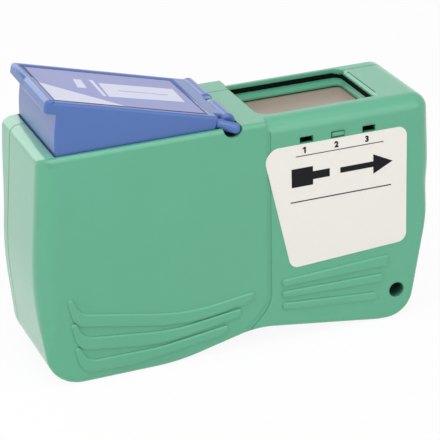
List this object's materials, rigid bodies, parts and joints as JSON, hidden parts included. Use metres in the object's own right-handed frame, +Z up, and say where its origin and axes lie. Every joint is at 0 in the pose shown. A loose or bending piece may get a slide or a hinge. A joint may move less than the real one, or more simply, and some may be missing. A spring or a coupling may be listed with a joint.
{
  "type": "fibre optic cleaning cassette",
  "caption": "Hand-held tape cassette that wipes fibre connector ends: a press lever advances cleaning tape and opens a shutter over the top window.",
  "frame": {"origin": "middle of the footprint, on the surface that the feet stand on", "axes": "+X from the lever's end to the window's end, +Y from the label side to the back, +Z up"},
  "size_m": [0.1276, 0.0418, 0.0906],
  "materials": {
    "green_abs": "moulded, satin",
    "blue_abs": "moulded, satin",
    "lever_film": "printed film",
    "label_film": "printed film",
    "shutter_plastic": "satin",
    "white_acetal": "moulded",
    "reel_plastic": "moulded",
    "tape_cloth": "woven microfibre",
    "pad_rubber": "soft",
    "steel": "plain"
  },
  "bodies": {
    "casing": {"front_cover": "green_abs", "rear_cover": "green_abs", "window_frame": "green_abs", "front_label": "label_film", "type_tab": "green_abs", "platen_holder": "reel_plastic", "platen_pad": "pad_rubber", "guide_pins": "steel", "cleaning_tape": "tape_cloth", "supply_shaft": "steel", "takeup_shaft": "steel", "idler_pin": "steel", "lever_pin": "steel", "brake_washer": "pad_rubber", "stop_leaf": "steel", "return_spring": "steel", "cover_screws": "steel"},
    "press_lever": {"lever": "blue_abs", "lever_label": "lever_film"},
    "drive": {"drive_gear": "white_acetal", "pawl_pin": "steel"},
    "pawl": {"drive_pawl": "white_acetal"},
    "idler": {"idler_gear": "white_acetal"},
    "window_shutter": {"shutter": "shutter_plastic"},
    "supply": {"supply_reel": "reel_plastic", "supply_roll": "tape_cloth"},
    "takeup": {"takeup_reel": "reel_plastic", "takeup_roll": "tape_cloth"},
    "left_guide": {"guide_roller_left": "white_acetal"},
    "right_guide": {"guide_roller_right": "white_acetal"}
  },
  "joints": [
    {"name": "lever_press", "type": "hinge", "parent": "casing", "child": "press_lever", "pos_m": [-0.00135, 0, 0.07382], "axis": [0, -1, 0], "range_deg": [0, 12.5], "stiffness_Nm_per_rad": 0.8, "springref_deg": -11.46, "deforming": ["return_spring"]},
    {"name": "drive_turn", "type": "hinge", "parent": "casing", "child": "drive", "pos_m": [0.02565, 0, 0.0281], "axis": [0, 1, 0], "range_deg": [0, 99]},
    {"name": "pawl_swing", "type": "hinge", "parent": "drive", "child": "pawl", "pos_m": [0.01607, 0, 0.03614], "axis": [0, 1, 0], "range_deg": [0, 8], "stiffness_Nm_per_rad": 0.002, "springref_deg": -11.46},
    {"name": "idler_turn", "type": "hinge", "parent": "casing", "child": "idler", "pos_m": [0.01965, 0, 0.05647], "axis": [0, -1, 0], "range_deg": [0, 219]},
    {"name": "shutter_slide", "type": "slide", "parent": "casing", "child": "window_shutter", "axis": [-1, 0, 0], "range_m": [0, 0.0345]},
    {"name": "supply_turn", "type": "hinge", "parent": "casing", "child": "supply", "pos_m": [-0.03235, 0, 0.0281], "axis": [0, 1, 0], "continuous": true},
    {"name": "takeup_turn", "type": "hinge", "parent": "casing", "child": "takeup", "pos_m": [0.02565, 0, 0.0281], "axis": [0, 1, 0], "continuous": true},
    {"name": "left_guide_turn", "type": "hinge", "parent": "casing", "child": "left_guide", "pos_m": [0.00735, 0, 0.06142], "axis": [0, 1, 0], "continuous": true},
    {"name": "right_guide_turn", "type": "hinge", "parent": "casing", "child": "right_guide", "pos_m": [0.04965, 0, 0.06142], "axis": [0, 1, 0], "continuous": true}
  ],
  "couplings": [
    {"joint": "drive_turn", "follows": "lever_press", "ratio": 7.8499},
    {"joint": "idler_turn", "follows": "lever_press", "ratio": 17.444},
    {"joint": "shutter_slide", "follows": "lever_press", "m_per_rad": 0.157},
    {"joint": "takeup_turn", "follows": "supply_turn", "ratio": 1.8},
    {"joint": "left_guide_turn", "follows": "supply_turn", "ratio": 7.2},
    {"joint": "right_guide_turn", "follows": "supply_turn", "ratio": 7.2}
  ]
}
